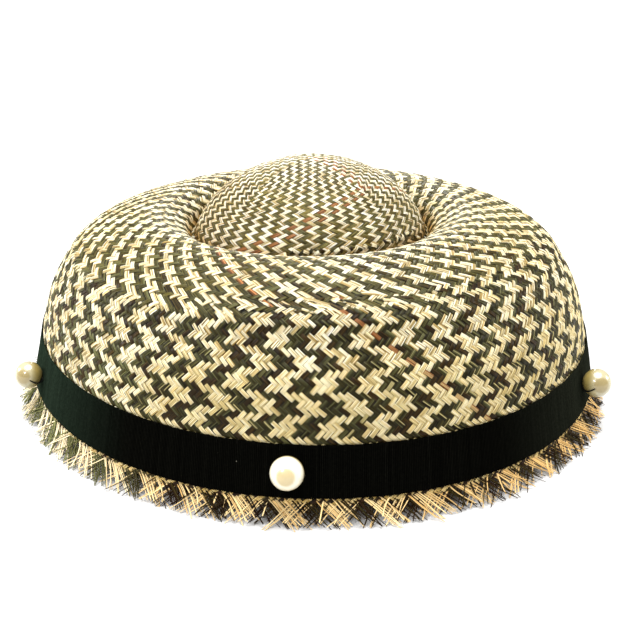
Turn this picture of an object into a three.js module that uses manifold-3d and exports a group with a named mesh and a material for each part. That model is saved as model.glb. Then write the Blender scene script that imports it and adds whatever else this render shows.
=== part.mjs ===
// Mushroom hat of two-colour woven straw: a domed crown sunk in a wide rolled brim, a ribbon round
// the foot of the brim's wall, five pearls on the ribbon and a frayed straw edge that it rests on.
// Millimetres, +Z up. The origin is on the resting surface under the middle of the hat's outline.
// +X is to the right seen from the front, and -Y is the front.

import * as THREE from 'three';
import Module from 'manifold-3d';
import { mergeVertices } from 'three/addons/utils/BufferGeometryUtils.js';

// Walls and the gap that pieces keep
const STRAW_THICK = 1.5;
const RIBBON_THICK = 1.0;
const GAP = 0.3;

// Crown: an oval dome whose foot stands in the crease
const CROWN_HALF_WIDTH = 84.5;
const CROWN_HALF_DEPTH = 99;
const CROWN_FOOT_UP = 104;
const CROWN_RISE = 63;
// 2 is a plain ellipsoid, less is a leaner dome
const CROWN_FULLNESS = 1.92;
// The crown sits a little left of the ribbon's middle
const CROWN_SHIFT = -4.5;

// Ribbon: heights of its edges, and how far they stand outside the crown's foot
const RIBBON_TOP_UP = 48.5;
const RIBBON_BOTTOM_UP = 15.2;
const RIBBON_TOP_OUT = 115.5;
const RIBBON_BOTTOM_OUT = 122;

// The upper part is higher at the front and at the right, fully so this far above the ribbon
const FRONT_LIFT = 7;
const RIGHT_LIFT = 2.5;
const LIFT_REACH = 60;

// Upper face of the brim from the crease to the ribbon, in distance outside the crown's foot and
// height above the floor. The last two columns are added at the front, where the ledge is crisp.
const BRIM_ROWS = [
  { at: 'crease', out: GAP, up: 104, frontOut: 0, frontUp: 0 },
  { at: 'lip', out: 4, up: 114.5, frontOut: 0, frontUp: 0 },
  { at: 'shoulder', out: 11, up: 122.5, frontOut: 0, frontUp: 0 },
  { at: 'crest', out: 28, up: 129, frontOut: 0, frontUp: 0 },
  { at: 'shelf', out: 52, up: 125.4, frontOut: 0, frontUp: 0 },
  { at: 'slope', out: 75, up: 117, frontOut: 0, frontUp: 0 },
  { at: 'ledge', out: 86.5, up: 109, frontOut: 1, frontUp: 1 },
  { at: 'under_ledge', out: 93, up: 101.5, frontOut: -1, frontUp: -1 },
  { at: 'wall', out: 105.5, up: 80, frontOut: 0, frontUp: 0 },
  { at: 'low_wall', out: 111.4, up: 61, frontOut: 0, frontUp: 0 },
];
const BRIM_STEPS = 15;
// The front ledge fades to nothing this far round from the middle of the front
const LEDGE_HALF_ANGLE = 1.1;

// Hem: where the brim's weave ends behind the ribbon and the frayed edge begins
const HEM_UP = 26;

// Frayed edge: a backing with slanted straw locks in two layers that cross without touching
const BACKING_BOTTOM_UP = 11.5;
const LOCKS_PER_LAYER = 60;
const LOCK_THICK = 1.2;
const LOCK_TIP_OUT = 131;
const LOCK_ROOT_WIDTH = 15;
const LOCK_TIP_WIDTH = 10;
// Tangential travel of a lock from its root to its tip
const LOCK_SLANT = 9;
// How far a lock's root reaches up into the backing
const LOCK_ROOT_REACH = 1;
// One lock in three is short, and ends this far above the floor
const SHORT_LOCK_EVERY = 3;
const SHORT_LOCK_UP = 3;

// Pearls: azimuth in degrees from +X, diameter, and height of the middle. They are sewn by hand,
// so they lie a little unevenly along the ribbon.
const PEARL_ROWS = [
  { name: 'pearl_left', azimuth: -158.5, diameter: 19, up: 31 },
  { name: 'pearl_front', azimuth: -94, diameter: 21, up: 36 },
  { name: 'pearl_right', azimuth: -23, diameter: 20, up: 34.5 },
  { name: 'pearl_back_right', azimuth: 52, diameter: 20, up: 33 },
  { name: 'pearl_back_left', azimuth: 127, diameter: 20, up: 33 },
];

// Facets
const ROUND_STEPS = 64;
const CROWN_STEPS = 8;
const PEARL_SIDES = 12;
const PEARL_BANDS = 8;

const FULL_TURN = 2 * Math.PI;

// Place of a point of the brim, from its angle round the hat and its distance outside the crown
function brimPoint(angle, out, up) {
  const shift = CROWN_SHIFT * (1 - THREE.MathUtils.clamp(out / RIBBON_TOP_OUT, 0, 1));
  return new THREE.Vector3(
    shift + (CROWN_HALF_WIDTH + out) * Math.cos(angle),
    (CROWN_HALF_DEPTH + out) * Math.sin(angle),
    up + liftAt(angle, up),
  );
}

// Extra height of the upper part at one angle
function liftAt(angle, up) {
  const share = THREE.MathUtils.clamp((up - RIBBON_TOP_UP) / LIFT_REACH, 0, 1);
  return share * (RIGHT_LIFT * Math.cos(angle) - FRONT_LIFT * Math.sin(angle));
}

// Distance outside the crown of the ribbon's outer face at one height, which runs straight on
// above and below the ribbon
function ribbonOut(up) {
  const share = (RIBBON_TOP_UP - up) / (RIBBON_TOP_UP - RIBBON_BOTTOM_UP);
  return RIBBON_TOP_OUT + share * (RIBBON_BOTTOM_OUT - RIBBON_TOP_OUT);
}

// Outer face of the straw behind the ribbon
function strawOut(up) {
  return ribbonOut(up) - RIBBON_THICK - GAP;
}

// 1 at the middle of the front, falling smoothly to 0 at the ends of the ledge
function frontShare(angle) {
  const fromBack = THREE.MathUtils.euclideanModulo(angle - Math.PI / 2, FULL_TURN);
  const away = Math.abs(fromBack - Math.PI);
  return THREE.MathUtils.smoothstep(LEDGE_HALF_ANGLE - away, 0, LEDGE_HALF_ANGLE);
}

// Upper face of the brim at one angle, as points (out, up) from the crease to the hem
function brimFace(angle) {
  const share = frontShare(angle);
  const knots = BRIM_ROWS.map((row) => new THREE.Vector2(
    row.out + share * row.frontOut,
    row.up + share * row.frontUp,
  ));
  knots.push(new THREE.Vector2(strawOut(RIBBON_TOP_UP), RIBBON_TOP_UP));
  knots.push(new THREE.Vector2(strawOut(HEM_UP), HEM_UP));
  return new THREE.SplineCurve(knots).getSpacedPoints(BRIM_STEPS);
}

// The same face moved inwards by a wall's thickness, square to itself
function offsetFace(face, thick) {
  return face.map((point, i) => {
    const before = face[Math.max(i - 1, 0)];
    const after = face[Math.min(i + 1, face.length - 1)];
    const along = after.clone().sub(before).normalize();
    return new THREE.Vector2(point.x + along.y * thick, point.y - along.x * thick);
  });
}

// A closed ring: loopAt(angle) gives the points of its section, in order round the section
function ringGeometry(loopAt) {
  const positions = [];
  const indices = [];
  let loopSize = 0;
  for (let i = 0; i < ROUND_STEPS; i += 1) {
    const loop = loopAt((i / ROUND_STEPS) * FULL_TURN);
    loopSize = loop.length;
    loop.forEach((point) => positions.push(point.x, point.y, point.z));
  }
  for (let i = 0; i < ROUND_STEPS; i += 1) {
    const here = i * loopSize;
    const next = ((i + 1) % ROUND_STEPS) * loopSize;
    for (let j = 0; j < loopSize; j += 1) {
      const k = (j + 1) % loopSize;
      indices.push(here + j, here + k, next + k);
      indices.push(here + j, next + k, next + j);
    }
  }
  return meshGeometry(positions, indices);
}

function meshGeometry(positions, indices) {
  const geometry = new THREE.BufferGeometry();
  geometry.setAttribute('position', new THREE.Float32BufferAttribute(positions, 3));
  geometry.setIndex(indices);
  geometry.computeVertexNormals();
  return geometry;
}

// Crown: an open-bottomed dome with an outer and an inner skin joined at the foot
function crownGeometry() {
  const positions = [];
  const indices = [];
  const skins = [0, STRAW_THICK];
  const skinStart = [];
  skins.forEach((inset) => {
    skinStart.push(positions.length / 3);
    positions.push(CROWN_SHIFT, 0, CROWN_FOOT_UP + CROWN_RISE - inset);
    for (let j = 1; j <= CROWN_STEPS; j += 1) {
      const turn = (j / CROWN_STEPS) * (Math.PI / 2);
      const reach = Math.sin(turn) ** (2 / CROWN_FULLNESS);
      const rise = (CROWN_RISE - inset) * Math.cos(turn) ** (2 / CROWN_FULLNESS);
      for (let i = 0; i < ROUND_STEPS; i += 1) {
        const angle = (i / ROUND_STEPS) * FULL_TURN;
        positions.push(
          CROWN_SHIFT + (CROWN_HALF_WIDTH - inset) * reach * Math.cos(angle),
          (CROWN_HALF_DEPTH - inset) * reach * Math.sin(angle),
          CROWN_FOOT_UP + rise + reach * liftAt(angle, CROWN_FOOT_UP),
        );
      }
    }
  });
  const ringVertex = (skin, j, i) => skinStart[skin] + 1 + (j - 1) * ROUND_STEPS + (i % ROUND_STEPS);
  const addFace = (a, b, c, flip) => indices.push(a, flip ? c : b, flip ? b : c);
  skins.forEach((inset, skin) => {
    const flip = skin === 1;
    for (let i = 0; i < ROUND_STEPS; i += 1) {
      addFace(skinStart[skin], ringVertex(skin, 1, i), ringVertex(skin, 1, i + 1), flip);
      for (let j = 1; j < CROWN_STEPS; j += 1) {
        const a = ringVertex(skin, j, i);
        const b = ringVertex(skin, j + 1, i);
        const c = ringVertex(skin, j + 1, i + 1);
        const d = ringVertex(skin, j, i + 1);
        addFace(a, b, c, flip);
        addFace(a, c, d, flip);
      }
    }
  });
  for (let i = 0; i < ROUND_STEPS; i += 1) {
    const a = ringVertex(0, CROWN_STEPS, i);
    const b = ringVertex(1, CROWN_STEPS, i);
    const c = ringVertex(1, CROWN_STEPS, i + 1);
    const d = ringVertex(0, CROWN_STEPS, i + 1);
    addFace(a, b, c, false);
    addFace(a, c, d, false);
  }
  return meshGeometry(positions, indices);
}

// Brim: one curved wall from the crease over the crest and ledge down to the hem
function brimGeometry() {
  return ringGeometry((angle) => {
    const upper = brimFace(angle);
    const under = offsetFace(upper, STRAW_THICK).reverse();
    return upper.concat(under).map((point) => brimPoint(angle, point.x, point.y));
  });
}

// Ribbon: a flat band laid on the slope of the brim's wall
function ribbonGeometry() {
  const heights = [RIBBON_TOP_UP, RIBBON_BOTTOM_UP];
  return ringGeometry((angle) => {
    const outer = heights.map((up) => brimPoint(angle, ribbonOut(up), up));
    const inner = heights.map((up) => brimPoint(angle, ribbonOut(up) - RIBBON_THICK, up));
    return outer.concat(inner.reverse());
  });
}

// Backing of the frayed edge, from just below the hem to a little below the ribbon
function backingGeometry() {
  const heights = [HEM_UP - GAP, BACKING_BOTTOM_UP];
  return ringGeometry((angle) => {
    const outer = heights.map((up) => brimPoint(angle, strawOut(up), up));
    const inner = heights.map((up) => brimPoint(angle, strawOut(up) - 2 * LOCK_THICK - GAP, up));
    return outer.concat(inner.reverse());
  });
}

// One lock: a flat strip that tapers from its root in the backing to a level tip
function lockGeometry(rootAngle, slant, depth, tipUp) {
  const rootUp = BACKING_BOTTOM_UP + LOCK_ROOT_REACH;
  const share = (rootUp - tipUp) / rootUp;
  const rootOut = strawOut(rootUp) - depth;
  const tipOut = rootOut + share * (LOCK_TIP_OUT - strawOut(rootUp));
  const meanRadius = (CROWN_HALF_WIDTH + CROWN_HALF_DEPTH) / 2 + LOCK_TIP_OUT;
  const tipAngle = rootAngle + (share * slant) / meanRadius;
  const corners = [];
  const addSection = (angle, out, up, width) => {
    const halfAngle = width / 2 / meanRadius;
    [[-halfAngle, 0], [halfAngle, 0], [halfAngle, -LOCK_THICK], [-halfAngle, -LOCK_THICK]].forEach(
      ([turn, inset]) => corners.push(...brimPoint(angle + turn, out + inset, up).toArray()),
    );
  };
  addSection(rootAngle, rootOut, rootUp, LOCK_ROOT_WIDTH);
  addSection(tipAngle, tipOut, tipUp, LOCK_TIP_WIDTH);
  const indices = [0, 1, 2, 0, 2, 3, 4, 6, 5, 4, 7, 6];
  for (let i = 0; i < 4; i += 1) {
    const k = (i + 1) % 4;
    indices.push(i, 4 + k, k, i, 4 + i, 4 + k);
  }
  return meshGeometry(corners, indices);
}

const wasm = await Module();
wasm.setup();

function toSolid(geometry) {
  const bare = new THREE.BufferGeometry();
  bare.setAttribute('position', geometry.getAttribute('position'));
  bare.setIndex(geometry.getIndex());
  const merged = mergeVertices(bare);
  return new wasm.Manifold(new wasm.Mesh({
    numProp: 3,
    vertProperties: new Float32Array(merged.getAttribute('position').array),
    triVerts: new Uint32Array(merged.getIndex().array),
  }));
}

function toGeometry(solid) {
  const mesh = solid.getMesh();
  return meshGeometry(Array.from(mesh.vertProperties), Array.from(mesh.triVerts));
}

// Frayed edge: the backing and both layers of locks joined in one body
function frayedEdgeGeometry() {
  let solid = toSolid(backingGeometry());
  const layers = [
    { slant: LOCK_SLANT, depth: 0, start: 0 },
    { slant: -LOCK_SLANT, depth: LOCK_THICK + GAP, start: 0.5 },
  ];
  layers.forEach(({ slant, depth, start }) => {
    for (let i = 0; i < LOCKS_PER_LAYER; i += 1) {
      const rootAngle = ((i + start) / LOCKS_PER_LAYER) * FULL_TURN;
      const tipUp = i % SHORT_LOCK_EVERY === SHORT_LOCK_EVERY - 1 ? SHORT_LOCK_UP : 0;
      solid = solid.add(toSolid(lockGeometry(rootAngle, slant, depth, tipUp)));
    }
  });
  return toGeometry(solid);
}

// Pearl: a bead that stands clear of the ribbon's face by the gap
function pearlMesh({ name, azimuth, diameter, up }) {
  const radius = diameter / 2;
  const mesh = new THREE.Mesh(new THREE.SphereGeometry(radius, PEARL_SIDES, PEARL_BANDS), pearlMaterial);
  const angle = THREE.MathUtils.degToRad(azimuth);
  const slope = Math.hypot(1, (RIBBON_BOTTOM_OUT - RIBBON_TOP_OUT) / (RIBBON_TOP_UP - RIBBON_BOTTOM_UP));
  mesh.name = name;
  mesh.position.copy(brimPoint(angle, ribbonOut(up) + (radius + GAP) * slope, up));
  return mesh;
}

// Materials
const strawMaterial = new THREE.MeshStandardMaterial({ color: 0xa89a68, roughness: 0.6, metalness: 0 });
const ribbonMaterial = new THREE.MeshStandardMaterial({ color: 0x15170f, roughness: 0.85, metalness: 0 });
const frayMaterial = new THREE.MeshStandardMaterial({ color: 0xb58f63, roughness: 0.7, metalness: 0 });
const pearlMaterial = new THREE.MeshStandardMaterial({ color: 0xf3ecd6, roughness: 0.18, metalness: 0 });

// The hat
const hat = new THREE.Group();
const pieces = [
  { name: 'crown', geometry: crownGeometry(), material: strawMaterial },
  { name: 'brim', geometry: brimGeometry(), material: strawMaterial },
  { name: 'ribbon_band', geometry: ribbonGeometry(), material: ribbonMaterial },
  { name: 'frayed_edge', geometry: frayedEdgeGeometry(), material: frayMaterial },
];
pieces.forEach(({ name, geometry, material }) => {
  const mesh = new THREE.Mesh(geometry, material);
  mesh.name = name;
  hat.add(mesh);
});
PEARL_ROWS.forEach((row) => hat.add(pearlMesh(row)));

// The front pearl stands out further than anything at the back, so the hat is moved to centre it
const outline = new THREE.Box3().setFromObject(hat, true);
const middle = outline.getCenter(new THREE.Vector3());
hat.position.set(-middle.x, -middle.y, 0);

export default hat;
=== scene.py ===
import math

import bpy
import numpy as np
from mathutils import Matrix, Vector


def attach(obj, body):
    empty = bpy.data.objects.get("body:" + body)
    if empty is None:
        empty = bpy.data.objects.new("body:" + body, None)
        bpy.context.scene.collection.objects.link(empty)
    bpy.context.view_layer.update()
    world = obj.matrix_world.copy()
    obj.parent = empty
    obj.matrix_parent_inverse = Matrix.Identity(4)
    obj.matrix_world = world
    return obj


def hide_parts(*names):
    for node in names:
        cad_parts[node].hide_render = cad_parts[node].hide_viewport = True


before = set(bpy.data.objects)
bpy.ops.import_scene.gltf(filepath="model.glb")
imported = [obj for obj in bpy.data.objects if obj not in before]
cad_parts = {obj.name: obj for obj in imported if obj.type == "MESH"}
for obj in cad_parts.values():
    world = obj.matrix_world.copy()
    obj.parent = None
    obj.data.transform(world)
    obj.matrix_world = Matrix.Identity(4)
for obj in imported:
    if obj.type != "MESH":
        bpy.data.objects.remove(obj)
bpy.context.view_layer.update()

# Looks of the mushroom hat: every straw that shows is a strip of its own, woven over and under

rng = np.random.default_rng(20)
TURN = 2 * math.pi

# Sizes are in millimetres until a mesh is made, which is in metres
MILLIMETRE = 0.001

# Form of the frame, as in the part
CROWN_HALF_WIDTH = 84.5
CROWN_HALF_DEPTH = 99.0
CROWN_FOOT_UP = 104.0
CROWN_RISE = 63.0
CROWN_FULLNESS = 1.92
CROWN_SHIFT = -4.5
HAT_BACK = 3.963
RIBBON_TOP_UP = 48.5
RIBBON_BOTTOM_UP = 15.2
RIBBON_TOP_OUT = 115.5
RIBBON_BOTTOM_OUT = 122.0
RIBBON_THICK = 1.0
GAP = 0.3
FRONT_LIFT = 7.0
RIGHT_LIFT = 2.5
LIFT_REACH = 60.0
LEDGE_HALF_ANGLE = 1.1
HEM_LOW_UP = 11.0
FRINGE_TIP_OUT = 131.0
STRAW_THICK = 1.5

# Brim rows: out, up, and what the front adds to each
BRIM_ROWS = np.array([
    (0.3, 104.0, 0, 0),
    (4.0, 114.5, 0, 0),
    (11.0, 122.5, 0, 0),
    (28.0, 129.0, 0, 0),
    (52.0, 125.4, 0, 0),
    (75.0, 117.0, 0, 0),
    (86.5, 109.0, 1, 1),
    (93.0, 101.5, -1, -1),
    (105.5, 80.0, 0, 0),
    (111.4, 61.0, 0, 0),
])
LEDGE_ROW = 6

# Pearls: name, azimuth, diameter, height of the middle, azimuth of the painted reflection patch,
# share of painted light
PEARL_ROWS = [
    ("left", -158.5, 19.0, 31.0, -104, 0.0),
    ("front", -94.0, 21.0, 36.0, -94, 1.0),
    ("right", -23.0, 20.0, 34.5, -82, 0.0),
    ("back_right", 52.0, 20.0, 33.0, 60, 0.5),
    ("back_left", 127.0, 20.0, 33.0, 120, 0.5),
]

# Weave: strands round the hat and rows of crossings in each part
CROWN_ROUND = 88
CROWN_SQUARE_ROWS = 22
CROWN_SQUARE_PITCH = 0.0148
CROWN_ROUNDING = (6, 52)
CROWN_ROWS = 73
SHELF_ROUND = 176
SHELF_ROWS = 46
SHELF_TWIST_RATE = 0.82
SHELF_TWIST_START = 0.45
SHELF_TWIST_EASE = 0.5
SHELF_TWIST_LEFT = (-170, 60)
SHELF_TWIST_RIGHT = (40, 42)
WALL_ROUND = 264
WALL_ROWS = 33
WALL_TURN = -0.015
WALL_LEAN = 0.045
HEM_ROWS = 3
HEM_TOP_PLACE = 2.83
HEM_LOW_PLACE = 3.0
SHELF_LENGTH = 108.0
WALL_LENGTH = 68.0
SEAM_MIDDLE = 1.01
SEAM_SWING = 0.16
SEAM_HIGH_AT = -35
SEAM_LOWEST = 1.08
SEAM_OVERLAP = 0.012
DRAWN_REACH = 0.26
DRAWN_EASE = 0.2
DRAWN_SPREAD = 2.2
CROSSING_SHORTER = -0.22
CROSSING_RAISED = 0.55
DRAWN_LONGER = (0.2, 1.1)
DRAWN_RAISED = (0, 0.3)
DRAWN_THINNER = 0.25
FLOAT_WIDTHS = (0.84, 0.98)
FLOAT_LENGTHS = (0.96, 1.08)
# Painted shade: how far straw deep in a crease is darkened towards gold
CREASE_SHADE_TONE = np.array([0.7, 0.46, 0.16])
HEM_TONE = np.array([0.96, 0.84, 0.6])

# Straw ends at the crown's foot and loose straws on the ledge
BUNDLE_RIDGE = 1.3
SEAM_KNOTS = 150
KNOTS_MIDDLE = -64
KNOTS_FRONT = 0.845
KNOTS_FOOT = 0.94
KNOT_SLANT = 0.7
KNOT_LENGTHS = (1.9, 2.8)
KNOT_WIDTHS = (0.9, 1.4)
KNOT_PALE_TOP = 2.5
KNOT_SHADOW_TOP = 1.3
KNOT_DROP = 1.5
LEDGE_LENGTHS = (6, 13)
LEDGE_WIDTHS = (0.8, 1.25)
LEDGE_TOPS = (0.9, 1.7)
LEDGE_DROP = 1.3
LEDGE_SAG = 0.008
LEDGE_BUNDLES = 32
LEDGE_FROM = -117
LEDGE_TO = -58
LEDGE_RADIUS = 180.0
LEDGE_RUST_AT = -84

# Strands that were dyed rust instead of dark
SHELF_RUST = 107
WALL_RUST = 207
CROWN_RUST_A = (87,)
CROWN_RUST_B = (23, 25)

# One float: a strand shows as four straws side by side, with a groove at each edge of a straw
STRAWS = 4
ACROSS = np.linspace(-1, 1, 2 * STRAWS + 1)
# Where painted shade darkens the grooves between straws: 1 at a groove, 0 on a straw's crest
GROOVE_SHADE_MASK = np.array([1, 0] * STRAWS + [1], float)
RIDGE = np.array([-0.24, 0.08, -0.08, 0.14, -0.08, 0.14, -0.08, 0.08, -0.24])
ALONG = np.array([-1, -0.74, 0, 0.74, 1])
TUCK = 1.2
ARCH = np.array([-0.42, 0.32, 0.5, 0.32, -0.42])
END_SHADE = np.array([0.55, 1, 1, 1, 0.55])
STREAK_SCATTER = 400


def srgb(red, green, blue):
    """A colour written as on a screen, 0 to 255, as linear light."""
    c = np.array([red, green, blue], float) / 255
    return np.where(c <= 0.04045, c / 12.92, ((c + 0.055) / 1.055) ** 2.4)


def smooth(x):
    x = np.clip(x, 0, 1)
    return x * x * (3 - 2 * x)


def rise(x, start, span):
    """Smoothly from 0 at the start to 1 at the end of the span."""
    return smooth((x - start) / span)


# Surfaces

def lift_at(angle, up):
    share = np.clip((up - RIBBON_TOP_UP) / LIFT_REACH, 0, 1)
    return share * (RIGHT_LIFT * np.cos(angle) - FRONT_LIFT * np.sin(angle))


def brim_point(angle, out, up):
    shift = CROWN_SHIFT * (1 - np.clip(out / RIBBON_TOP_OUT, 0, 1))
    x = shift + (CROWN_HALF_WIDTH + out) * np.cos(angle)
    y = HAT_BACK + (CROWN_HALF_DEPTH + out) * np.sin(angle)
    return np.stack((x, y, up + lift_at(angle, up)), -1)


def ribbon_out(up):
    share = (RIBBON_TOP_UP - up) / (RIBBON_TOP_UP - RIBBON_BOTTOM_UP)
    return RIBBON_TOP_OUT + share * (RIBBON_BOTTOM_OUT - RIBBON_TOP_OUT)


def straw_out(up):
    return ribbon_out(up) - RIBBON_THICK - GAP


def front_share(angle):
    away = np.abs((angle - math.pi / 2) % TURN - math.pi)
    return smooth((LEDGE_HALF_ANGLE - away) / LEDGE_HALF_ANGLE)


def spline(knots, t):
    """The curve through the knots at t from 0 to 1, as the part draws it."""
    last = len(knots) - 1
    place = t * last
    i = np.minimum(place.astype(int), last - 1)
    w = (place - i)[:, None]
    p0 = knots[np.maximum(i - 1, 0)]
    p1 = knots[i]
    p2 = knots[i + 1]
    p3 = knots[np.minimum(i + 2, last)]
    v0 = (p2 - p0) / 2
    v1 = (p3 - p1) / 2
    cubic = 2 * p1 - 2 * p2 + v0 + v1
    square = -3 * p1 + 3 * p2 - 2 * v0 - v1
    return cubic * w**3 + square * w**2 + v0 * w + p1


# Brim table: place 0 is the crease, 1 the ledge, 2 the ribbon's top and 3 the lowest woven row
BRIM_ANGLES = 512
BRIM_PLACES = 901


def make_brim_table():
    """Points and normals of the brim over angle and place."""
    angles = np.arange(BRIM_ANGLES) / BRIM_ANGLES * TURN
    share = front_share(angles)
    table = np.zeros((BRIM_ANGLES, BRIM_PLACES, 3))
    dense = np.linspace(0, 1, 1200)
    places = np.linspace(0, 3, BRIM_PLACES)
    foot = [(straw_out(RIBBON_TOP_UP), RIBBON_TOP_UP), (straw_out(HEM_LOW_UP), HEM_LOW_UP)]
    for row, angle in enumerate(angles):
        knots = BRIM_ROWS[:, :2] + share[row] * BRIM_ROWS[:, 2:]
        knots = np.vstack((knots, foot))
        line = spline(knots, dense)
        steps = np.linalg.norm(np.diff(line, axis=0), axis=1)
        run = np.concatenate(([0], np.cumsum(steps)))
        last = len(knots) - 1
        marks = np.interp([LEDGE_ROW / last, (last - 1) / last], dense, run)
        wanted = np.interp(places, [0, 1, 2, 3], [0, marks[0], marks[1], run[-1]])
        out = np.interp(wanted, run, line[:, 0])
        up = np.interp(wanted, run, line[:, 1])
        table[row] = brim_point(np.full(BRIM_PLACES, angle), out, up)
    normals = np.cross(np.gradient(table, axis=1), np.roll(table, -1, 0) - np.roll(table, 1, 0))
    return table, normals / np.linalg.norm(normals, axis=-1, keepdims=True)


brim_points, brim_normals = make_brim_table()


def brim_at(angle, place, height):
    a = (angle / TURN % 1) * BRIM_ANGLES
    a0 = a.astype(int) % BRIM_ANGLES
    fa = (a % 1)[..., None]
    a1 = (a0 + 1) % BRIM_ANGLES
    q = np.clip(place / 3.0 * (BRIM_PLACES - 1), 0, BRIM_PLACES - 1.001)
    q0 = q.astype(int)
    fq = (q % 1)[..., None]

    def mixed(table):
        near = table[a0, q0] * (1 - fq) + table[a0, q0 + 1] * fq
        far = table[a1, q0] * (1 - fq) + table[a1, q0 + 1] * fq
        return near * (1 - fa) + far * fa

    return mixed(brim_points) + mixed(brim_normals) * height[..., None]


# Crown surface: rho is 0 at the top and 1 at the foot, in equal steps of length
crown_turn = np.linspace(0, math.pi / 2, 2000)
crown_reach = np.sin(crown_turn) ** (2 / CROWN_FULLNESS)
crown_rise = np.cos(crown_turn) ** (2 / CROWN_FULLNESS)
crown_mean = (CROWN_HALF_WIDTH + CROWN_HALF_DEPTH) / 2
crown_run = np.concatenate(([0], np.cumsum(np.hypot(
    np.diff(crown_reach) * crown_mean, np.diff(crown_rise) * CROWN_RISE))))
CROWN_LENGTH = crown_run[-1]


def crown_surface(a, b):
    """A point of the crown from its flat place, whose distance from 0 is rho."""
    rho = np.hypot(a, b)
    angle = np.arctan2(b, a)
    run = np.minimum(rho, 1) * CROWN_LENGTH
    reach = np.interp(run, crown_run, crown_reach)
    rise = np.interp(run, crown_run, crown_rise)
    below = np.maximum(rho - 1, 0) * CROWN_LENGTH
    x = CROWN_SHIFT + CROWN_HALF_WIDTH * reach * np.cos(angle)
    y = HAT_BACK + CROWN_HALF_DEPTH * reach * np.sin(angle)
    z = CROWN_FOOT_UP + CROWN_RISE * rise + reach * lift_at(angle, CROWN_FOOT_UP) - below
    return np.stack((x, y, z), -1)


def crown_raised(a, b, height):
    step = 2e-3
    across = crown_surface(a + step, b) - crown_surface(a - step, b)
    back = crown_surface(a, b + step) - crown_surface(a, b - step)
    normal = np.cross(across, back)
    normal /= np.linalg.norm(normal, axis=-1, keepdims=True)
    return crown_surface(a, b) + normal * height[..., None]


def crown_round(angle, rho, height):
    return crown_raised(rho * np.cos(angle), rho * np.sin(angle), height)


def row_reach(n):
    """Flat distance of a crown row from the top; the rows below the square lie closer."""
    low_pitch = (1 - CROWN_SQUARE_ROWS * CROWN_SQUARE_PITCH) / (CROWN_ROWS - CROWN_SQUARE_ROWS)
    low_rows = np.maximum(n - CROWN_SQUARE_ROWS, 0)
    return np.minimum(n, CROWN_SQUARE_ROWS) * CROWN_SQUARE_PITCH + low_rows * low_pitch


def crown_at(quarter, m, n, height):
    """Place on the crown: the weave starts as four mitred quarters and fans out below them."""
    quarter, m, n = (np.array(x, float) for x in np.broadcast_arrays(quarter, m, n))
    half = CROWN_SQUARE_ROWS
    for _ in range(2):
        inner = n < half
        side = np.where(inner, n, half)
        over = m > side
        under = m < -side
        new_m = np.where(over, np.where(inner, -n, m - 2 * half), m)
        new_n = np.where(over & inner, m, n)
        new_m = np.where(under, np.where(inner, n, m + 2 * half), new_m)
        new_n = np.where(under & inner, -m, new_n)
        quarter = quarter + over - under
        m, n = new_m, new_n
    share = m / np.maximum(np.minimum(n, half), 1e-6)
    share = np.clip(share, -1, 1)
    round_off = rise(n, *CROWN_ROUNDING)
    turn = (1 - round_off) * np.arctan(share) + round_off * share * math.pi / 4
    rho = row_reach(n) * (1 + share**2) ** (0.5 * (1 - round_off))
    return crown_round(-math.pi / 2 + quarter * math.pi / 2 + turn, rho, height)


# Meshes

def add_object(name, data):
    thing = bpy.data.objects.new(name, data)
    bpy.context.scene.collection.objects.link(thing)
    return thing


def add_mesh(name, points, faces, material, tints=None, uvs=None, groove_shading=None):
    """A mesh of quads. Tints, uvs and the painted groove shade are given for each corner of each
    face.
    """
    mesh = bpy.data.meshes.new(name)
    points = points.reshape(-1, 3)
    faces = np.ascontiguousarray(faces.reshape(-1, 4), np.int32)
    mesh.vertices.add(len(points))
    mesh.vertices.foreach_set("co", (points * MILLIMETRE).astype(np.float32).ravel())
    mesh.loops.add(faces.size)
    mesh.loops.foreach_set("vertex_index", faces.ravel())
    mesh.polygons.add(len(faces))
    mesh.polygons.foreach_set("loop_start", np.arange(0, faces.size, 4, dtype=np.int32))
    mesh.update(calc_edges=True)
    if tints is not None:
        layer = mesh.color_attributes.new(name="tint", type="FLOAT_COLOR", domain="CORNER")
        filled = np.ones((faces.size, 4), np.float32)
        filled[:, :3] = tints.reshape(-1, 3)
        layer.data.foreach_set("color", filled.ravel())
    if uvs is not None:
        layer = mesh.uv_layers.new(name="strand")
        layer.data.foreach_set("uv", uvs.astype(np.float32).ravel())
    # The edge value says where painted shade falls in the grooves between straws
    if groove_shading is not None:
        layer = mesh.attributes.new(name="edge", type="FLOAT", domain="CORNER")
        layer.data.foreach_set("value", groove_shading.astype(np.float32).ravel())
    mesh.polygons.foreach_set("use_smooth", np.full(len(faces), True))
    mesh.materials.append(material)
    mesh.validate()
    return add_object(name, mesh)


def grid_faces(count, along, across):
    """Quads of many grids, with the points in the order grid, along, across."""
    f, a, b = np.meshgrid(np.arange(count), np.arange(along - 1), np.arange(across - 1),
                          indexing="ij")
    first = (f * along + a) * across + b
    return np.stack((first, first + across, first + across + 1, first + 1), -1)


def loop_faces(around, size):
    """Quads of a ring whose section is a closed loop, with their column, row and next row."""
    i, j = np.meshgrid(np.arange(around), np.arange(size), indexing="ij")
    k = (j + 1) % size
    i2 = (i + 1) % around
    faces = np.stack((i * size + j, i * size + k, i2 * size + k, i2 * size + j), -1)
    return faces, i, j, k


def corners(values):
    """Values at grid points as values at the corners of its quads."""
    return np.stack((values[:, :-1, :-1], values[:, 1:, :-1], values[:, 1:, 1:],
                     values[:, :-1, 1:]), 3)


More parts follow.
